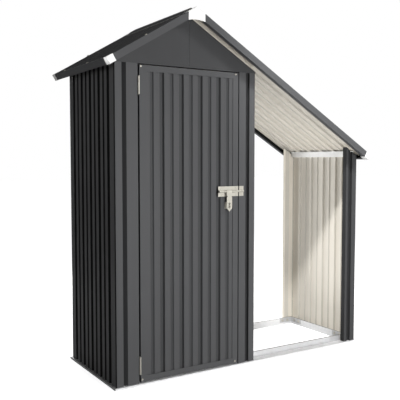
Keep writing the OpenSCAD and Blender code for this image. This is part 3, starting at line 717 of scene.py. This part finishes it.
class LOGSTORE_OT_coat_sheets(bpy.types.Operator):
    """Coats the sheets: dark outside, pale inside, with painted shade in the grooves, on the
    bends, on the rib sides and under the roof
    """

    bl_idname = "logstore.coat_sheets"
    bl_label = "Coat sheets"

    def execute(self, context):
        look = context.scene.logstore_finishes
        for name, facing in PAINTED_SIDE.items():
            dress_by_side(name, facing, dark_coat(look), backing_coat(look), PAINTED_LIMIT)
        groove = toned_coat(look, "Anthracite coat, painted shade in grooves", look.groove_shade_tone)
        side_groove = toned_coat(look, "Anthracite coat, painted shade in side grooves and on bends", look.side_groove_shade_tone)
        post_groove = toned_coat(look, "Anthracite coat, painted shade in post grooves", look.post_groove_shade_tone)
        rib_side_shade = backing_coat(look, "Cream coat, painted shade on rib sides", look.rib_shade_tone)
        # Grooved sheets get a darker copy of their coat in the grooves: painted shade
        for name, outwards in GROOVED.items():
            shaded = post_groove if name in POSTS else groove if outwards[1] else side_groove
            shade_grooves(name, outwards, shaded, rib_side_shade)
        # The outside of each corner bend gets the side groove's painted shade
        for name, side in CORNERS:
            shade_corner(name, side, side_groove)
        # Gables and end posts get a darker coat: painted shade under the roof
        under_roof_shade = toned_coat(look, "Anthracite coat, painted shade under the roof", look.gable_shade_tone)
        for name in SHADED_UNDER_ROOF:
            node(name).data.materials[0] = under_roof_shade
        for name in DOOR_FRAME:
            dress(name, dark_coat(look))
        dress("slope_rails", backing_coat(look))
        return {"FINISHED"}


class LOGSTORE_OT_coat_trims(bpy.types.Operator):
    """Coats the trims round the roof, with near black painted shade on their hidden side"""

    bl_idname = "logstore.coat_trims"
    bl_label = "Coat trims"

    def execute(self, context):
        look = context.scene.logstore_finishes
        for name, facing in TRIM_BACK.items():
            dress_by_side(name, facing, trim_back(look), dark_coat(look), TRIM_BACK_LIMIT)
        return {"FINISHED"}


class LOGSTORE_OT_galvanise_frame(bpy.types.Operator):
    """Galvanises the base rails, their brackets and the rails under the roof, with painted light
    and shade on the rails
    """

    bl_idname = "logstore.galvanise_frame"
    bl_label = "Galvanise frame"

    def execute(self, context):
        look = context.scene.logstore_finishes
        ledge = galvanised("Galvanised ledge, painted light", look.ledge_lit_colour)
        top = galvanised("Galvanised rail top, painted shade", look.rail_top_shade_colour)
        for name in INNER_RAILS:
            shade_rail(name, ledge, galvanised("Galvanised frame", look.frame_colour), top)
        # The front and left rails get a darker copy of the zinc: painted shade
        grey = galvanised("Galvanised outer rail, painted shade", look.outer_rail_shade_colour)
        shade_rail("base_rail_front", ledge, grey, top)
        shade_rail("base_rail_left", grey, grey, top)
        dress("base_brackets", galvanised("Galvanised bracket", look.bracket_colour))
        # The rails under the roof get zinc made brighter as painted light
        for name in TOP_RAILS:
            dress(name, galvanised("Galvanised top rail, painted light", look.rail_colour))
        return {"FINISHED"}


class LOGSTORE_OT_mould_caps(bpy.types.Operator):
    """Gives the eave caps and ridge caps their white plastic"""

    bl_idname = "logstore.mould_caps"
    bl_label = "Mould caps"

    def execute(self, context):
        for name in PLASTIC_CAPS:
            dress(name, moulded_plastic(context.scene.logstore_finishes))
        return {"FINISHED"}


class LOGSTORE_OT_plate_fittings(bpy.types.Operator):
    """Plates the hinges, the bolt and the hasp"""

    bl_idname = "logstore.plate_fittings"
    bl_label = "Plate fittings"

    def execute(self, context):
        for name in FITTINGS:
            dress(name, zinc_plate(context.scene.logstore_finishes))
        return {"FINISHED"}


class LOGSTORE_OT_screw_door(bpy.types.Operator):
    """Screws at the corners of the door, and in the plates of the bolt"""

    bl_idname = "logstore.screw_door"
    bl_label = "Screw door"

    def execute(self, context):
        sizes = context.scene.logstore_fasteners
        metal = zinc_plate(context.scene.logstore_finishes)
        left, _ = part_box("door_hinge_stile")
        _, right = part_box("door_lock_stile")
        corners = [((x, left.y, z), FORWARDS)
                   for x in (left.x + DOOR_SCREW_SIDES[0], right.x - DOOR_SCREW_SIDES[1])
                   for z in (left.z + DOOR_SCREW_ENDS[0], right.z - DOOR_SCREW_ENDS[1])]
        fasteners("door_screws", "door", corners, sizes.head_radius, sizes.head_height, ROUND,
                  DOOR_WASHER * sizes.head_radius, metal)
        self.plate_screws("latch_plate_screws", "door", "latch_plate", LATCH_SCREWS, sizes, metal)
        self.plate_screws("keeper_screws", "root", "bolt_keeper", KEEPER_SCREWS, sizes, metal)
        return {"FINISHED"}

    @staticmethod
    def plate_screws(name, body, plate, along, sizes, metal):
        """Two rows of small screws on a plate."""
        low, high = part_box(plate)
        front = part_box("latch_plate")[1].y - PLATE_THICKNESS
        places = [((low.x + x, front, z), FORWARDS)
                  for x in along for z in (low.z + PLATE_EDGE, high.z - PLATE_EDGE)]
        fasteners(name, body, places, sizes.plate_head_radius, PLATE_HEAD * sizes.head_height,
                  ROUND, PLATE_WASHER * sizes.plate_head_radius, metal)


class LOGSTORE_OT_screw_roof(bpy.types.Operator):
    """Screws through the trims, along the eaves and down the sloping edges"""

    bl_idname = "logstore.screw_roof"
    bl_label = "Screw roof"

    def execute(self, context):
        sizes = context.scene.logstore_fasteners
        metal = zinc_plate(context.scene.logstore_finishes)
        places = []
        for side, trim in ((-1, "eave_trim_left"), (1, "eave_trim_right")):
            places += self.eave_places(side, trim)
        for end in ("front", "back"):
            for side, half in ((-1, "left"), (1, "right")):
                places += self.slope_places(side, end, f"{end}_fascia_{half}", sizes)
        fasteners("roof_screws", "root", places, sizes.roof_head_radius, sizes.roof_head_height,
                  ROUND, ROOF_WASHER * sizes.roof_head_radius, metal)
        return {"FINISHED"}

    @staticmethod
    def eave_places(side, trim):
        """Two screws on the flange that lies on the roof."""
        low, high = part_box(trim)
        down, off = slope_direction(side)
        top = Vector((low.x if side < 0 else high.x, 0, high.z - FLANGE * math.sin(ROOF_PITCH)))
        place = top - down * EAVE_INSET
        return [((place.x, low.y + share * (high.y - low.y), place.z), off)
                for share in EAVE_SHARES]

    @staticmethod
    def slope_places(side, end, trim, sizes):
        """Screws down a sloping edge, from the ridge."""
        low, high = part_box(trim)
        down, off = slope_direction(side)
        y = low.y + SLOPE_INSET if end == "front" else high.y - SLOPE_INSET
        ridge_end = Vector((high.x if side < 0 else low.x, y, high.z))
        run = (high.x - low.x) / math.cos(ROOF_PITCH)
        count = 1 + int((run - sizes.trim_first - TRIM_END) / sizes.trim_pitch)
        return [(ridge_end + down * (sizes.trim_first + i * sizes.trim_pitch), off)
                for i in range(count)]


class LOGSTORE_OT_bolt_brackets(bpy.types.Operator):
    """Hexagon bolts on both legs of each corner bracket"""

    bl_idname = "logstore.bolt_brackets"
    bl_label = "Bolt brackets"

    def execute(self, context):
        sizes = context.scene.logstore_fasteners
        low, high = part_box("base_brackets")
        middle = (low.z + high.z) / 2
        places = []
        for x, to_x in ((low.x + BRACKET_WALL, 1), (high.x - BRACKET_WALL, -1)):
            for y, to_y in ((low.y + BRACKET_WALL, 1), (high.y - BRACKET_WALL, -1)):
                for along in BRACKET_BOLTS:
                    places.append(((x + to_x * along, y, middle), (0, to_y, 0)))
                    places.append(((x, y + to_y * along, middle), (to_x, 0, 0)))
        fasteners("bracket_bolts", "root", places, sizes.bolt_radius, sizes.bolt_height, HEXAGON,
                  BOLT_WASHER * sizes.bolt_radius, zinc_plate(context.scene.logstore_finishes))
        return {"FINISHED"}


# Floor: half its width, and the distances between which it grows white, from a level below 1
FLOOR_HALF, GLOW_NEAR, GLOW_FAR, GLOW_LEVEL = 30, 1.0, 2.6, 0.87
FLAG_PLACE, FLAG_FACING, FLAG_SIZE = (-1.5, 5.0, 3.4), (0.2, -1.0, 0.0), (10.0, 6.8)
FLAG_COLOUR = (0.04, 0.04, 0.04)
MATTE_ROUGHNESS = 0.9
SPOT_BLEND = 0.5
SENSOR_WIDTH = 36


def matte(name, colour):
    """A material without shine."""
    material = bpy.data.materials.new(name)
    material.use_nodes = True
    shader = material.node_tree.nodes["Principled BSDF"]
    shader.inputs["Base Color"].default_value = opaque(colour)
    shader.inputs["Roughness"].default_value = MATTE_ROUGHNESS
    shader.inputs["Specular IOR Level"].default_value = 0.0
    return material


def place_lamp(context, data, place, aim):
    """Hangs a lamp that the camera doesn't see, and turns it to what it lights."""
    lamp = bpy.data.objects.new(data.name, data)
    lamp.location = place
    back = Vector(place) - Vector(aim)
    lamp.rotation_euler = back.to_track_quat("Z", "Y").to_euler()
    lamp.visible_camera = False
    context.scene.collection.objects.link(lamp)


class LOGSTORE_OT_set_stage(bpy.types.Operator):
    """Sets the floor, the lights, the white surround and the camera"""

    bl_idname = "logstore.set_stage"
    bl_label = "Set stage"

    def execute(self, context):
        stage = context.scene.logstore_stage
        self.lay_floor(stage)
        self.surround(context, stage)
        self.light(context, stage)
        self.hang_flag()
        self.place_camera(context, stage)
        context.scene.view_settings.view_transform = "Standard"
        return {"FINISHED"}

    @staticmethod
    def lay_floor(stage):
        """A pale floor that is near white to the camera and takes the shadow."""
        bm = bmesh.new()
        bmesh.ops.create_grid(bm, x_segments=2, y_segments=2, size=FLOOR_HALF)
        material = matte("Studio floor", stage.floor_colour)
        tree = material.node_tree
        shader = tree.nodes["Principled BSDF"]
        shader.inputs["Emission Color"].default_value = (1, 1, 1, 1)
        rays = tree.nodes.new("ShaderNodeLightPath")
        place = tree.nodes.new("ShaderNodeTexCoord").outputs["Object"]
        reach = tree.nodes.new("ShaderNodeVectorMath")
        reach.operation = "LENGTH"
        tree.links.new(place, reach.inputs[0])
        glow = add_node(tree, "ShaderNodeMapRange", {"interpolation_type": "SMOOTHSTEP"},
                        Value=reach.outputs["Value"], From_Min=GLOW_NEAR, From_Max=GLOW_FAR,
                        To_Min=GLOW_LEVEL, To_Max=1.0).outputs["Result"]
        seen = maths(tree, "MULTIPLY", rays.outputs["Is Camera Ray"], glow)
        tree.links.new(seen, shader.inputs["Emission Strength"])
        floor = linked_object("studio_floor", bm, material)

    @staticmethod
    def surround(context, stage):
        """White to the camera and in reflections, and a weak even light for the rest."""
        world = bpy.data.worlds.new("Studio surround")
        world.use_nodes = True
        context.scene.world = world
        tree = world.node_tree
        background = tree.nodes["Background"]
        background.inputs["Color"].default_value = (1, 1, 1, 1)
        rays = tree.nodes.new("ShaderNodeLightPath")
        shown = maths(tree, "MAXIMUM", rays.outputs["Is Camera Ray"],
                      maths(tree, "MAXIMUM", rays.outputs["Is Glossy Ray"],
                            rays.outputs["Is Transmission Ray"]))
        strength = maths(tree, "MAXIMUM", shown, stage.ambient)
        tree.links.new(strength, background.inputs["Strength"])

    @staticmethod
    def light(context, stage):
        """Soft panels with size and spread, and spots with cone and softness."""
        panels = (
            ("Front panel", stage.panel_power, (1.8, 1.4), 180, stage.panel_place,
             (-0.05, -0.2, 0.9)),
            ("Side panel", stage.side_power, (2.0, 2.0), 180, stage.side_place, (-0.4, 0.0, 0.9)),
            ("Back panel", stage.back_power, (0.8, 1.2), 180, stage.back_place, (0.4, 0.0, 0.8)),
            ("High panel", stage.high_power, (1.0, 1.0), 180, stage.high_place, (-0.2, -0.2, 1.0)),
            ("Top panel", stage.top_power, (0.6, 0.6), 180, stage.top_place, (-0.45, 0.0, 1.7)),
            ("Foot panel", stage.foot_power, (1.0, 0.4), 180, stage.foot_place, (0.0, -0.3, 1.4)),
            ("Far panel", stage.far_power, (1.6, 1.6), 180, stage.far_place, (0.4, 0.0, 1.0)),
            ("Low card", stage.card_power, (0.6, 0.4), 110, stage.card_place, (0.35, -0.145, 1.4)))
        for name, power, size, spread, place, aim in panels:
            panel = bpy.data.lights.new(name, "AREA")
            panel.shape = "RECTANGLE"
            panel.size, panel.size_y = size
            panel.spread = math.radians(spread)
            panel.energy = power
            place_lamp(context, panel, place, aim)
        spots = (
            ("Key spot", stage.key_power, 16, 0.14, stage.key_place, (0.82, 0.0, 0.66)),
            ("Cap spot", stage.cap_power, 1.5, 0.02, stage.cap_place, (-0.838, -0.352, 1.585)))
        for name, power, cone, softness, place, aim in spots:
            spot = bpy.data.lights.new(name, "SPOT")
            spot.energy = power
            spot.spot_size = math.radians(cone)
            spot.spot_blend = SPOT_BLEND
            spot.shadow_soft_size = softness
            place_lamp(context, spot, place, aim)

    @staticmethod
    def hang_flag():
        """A dark card behind the set, which only reflections see."""
        bm = bmesh.new()
        bmesh.ops.create_grid(bm, x_segments=1, y_segments=1, size=0.5)
        upright = Vector(FLAG_FACING).to_track_quat("Z", "Y").to_matrix().to_4x4()
        stretch = Matrix.Diagonal((*FLAG_SIZE, 1, 1))
        bmesh.ops.transform(bm, verts=bm.verts,
                            matrix=Matrix.Translation(FLAG_PLACE) @ upright @ stretch)
        flag = linked_object("studio_flag", bm, matte("Studio flag", FLAG_COLOUR))
        flag.visible_camera = False
        flag.visible_shadow = False

    @staticmethod
    def place_camera(context, stage):
        """The camera where the photograph was taken from."""
        data = bpy.data.cameras.new("Camera")
        data.lens = stage.lens
        data.sensor_width = SENSOR_WIDTH
        data.sensor_fit = "HORIZONTAL"
        camera = bpy.data.objects.new("Camera", data)
        camera.location = stage.camera_place
        camera.rotation_euler = (-Vector(stage.camera_aim)).to_track_quat("Z", "Y").to_euler()
        context.scene.collection.objects.link(camera)
        context.scene.camera = camera


class LOGSTORE_PT_panel(bpy.types.Panel):
    """Lists the steps and the sizes and colours that can be changed"""

    bl_idname = "LOGSTORE_PT_panel"
    bl_label = "Log Store"
    bl_space_type = "VIEW_3D"
    bl_region_type = "UI"
    bl_category = "Log Store"

    def draw(self, context):
        for step in STEPS:
            self.layout.operator(step.bl_idname)
        for group in (context.scene.logstore_finishes, context.scene.logstore_fasteners,
                      context.scene.logstore_stage):
            box = self.layout.box()
            for key in group.bl_rna.properties.keys():
                if key not in ("rna_type", "name"):
                    box.prop(group, key)


STEPS = (
    LOGSTORE_OT_coat_sheets,
    LOGSTORE_OT_coat_trims,
    LOGSTORE_OT_galvanise_frame,
    LOGSTORE_OT_mould_caps,
    LOGSTORE_OT_plate_fittings,
    LOGSTORE_OT_screw_door,
    LOGSTORE_OT_screw_roof,
    LOGSTORE_OT_bolt_brackets,
    LOGSTORE_OT_set_stage,
)
CLASSES = (LogStoreFinishes, LogStoreFasteners, LogStoreStage, *STEPS, LOGSTORE_PT_panel)


def register():
    for kind in CLASSES:
        bpy.utils.register_class(kind)
    bpy.types.Scene.logstore_finishes = PointerProperty(type=LogStoreFinishes)
    bpy.types.Scene.logstore_fasteners = PointerProperty(type=LogStoreFasteners)
    bpy.types.Scene.logstore_stage = PointerProperty(type=LogStoreStage)


def unregister():
    del bpy.types.Scene.logstore_stage
    del bpy.types.Scene.logstore_fasteners
    del bpy.types.Scene.logstore_finishes
    for kind in reversed(CLASSES):
        bpy.utils.unregister_class(kind)


def main():
    register()
    bpy.ops.logstore.coat_sheets()
    bpy.ops.logstore.coat_trims()
    bpy.ops.logstore.galvanise_frame()
    bpy.ops.logstore.mould_caps()
    bpy.ops.logstore.plate_fittings()
    bpy.ops.logstore.screw_door()
    bpy.ops.logstore.screw_roof()
    bpy.ops.logstore.bolt_brackets()
    bpy.ops.logstore.set_stage()


if __name__ == "__main__":
    main()
